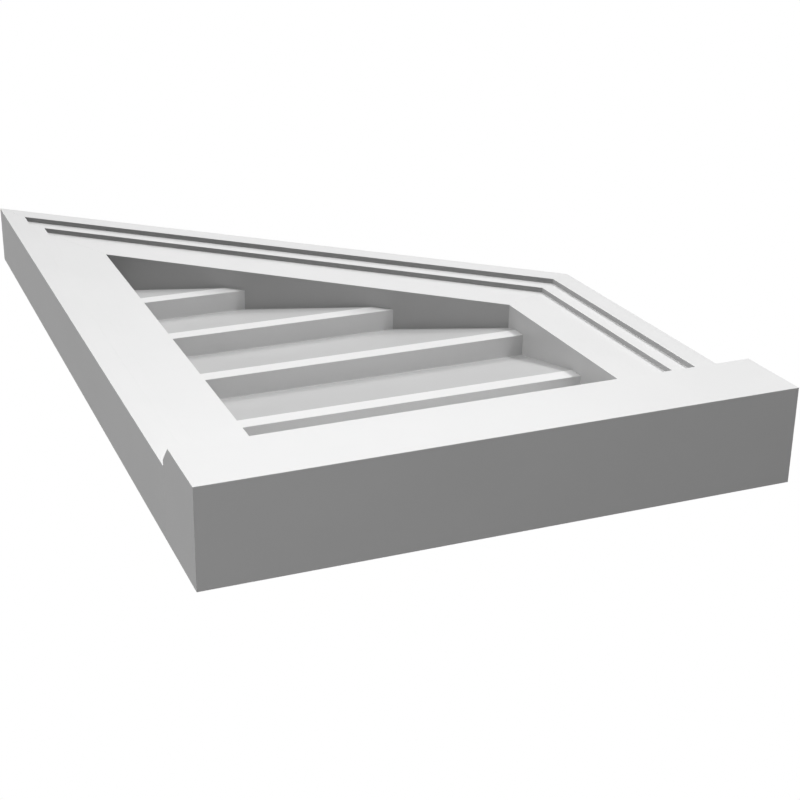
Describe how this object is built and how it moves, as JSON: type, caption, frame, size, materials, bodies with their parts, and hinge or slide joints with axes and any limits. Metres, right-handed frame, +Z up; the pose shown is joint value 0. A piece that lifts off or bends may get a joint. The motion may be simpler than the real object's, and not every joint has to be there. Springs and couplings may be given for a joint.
{
  "type": "decorative gable vent",
  "caption": "Decorative gable vent with half of a peaked top: a stepped, mitred moulding frame on a deep square sill, closed by bevelled louvre boards.",
  "frame": {"origin": "middle of the sill's flat back face, in the plane of the wall", "axes": "+Z up the wall, -Y out of the vent's face, +X to the right as seen from the front, so the tall side is at -X"},
  "size_m": [0.3048, 0.0508, 0.5077],
  "materials": {
    "moulded_pvc": "white cellular PVC, smooth extruded skin",
    "milled_pvc": "white cellular PVC, finely milled"
  },
  "bodies": {
    "root": {"sill": "moulded_pvc", "tall_jamb": "moulded_pvc", "short_jamb": "moulded_pvc", "rake_head": "moulded_pvc", "louvre_1": "milled_pvc", "louvre_2": "milled_pvc", "louvre_3": "milled_pvc", "louvre_4": "milled_pvc", "louvre_5": "milled_pvc"}
  },
  "joints": []
}
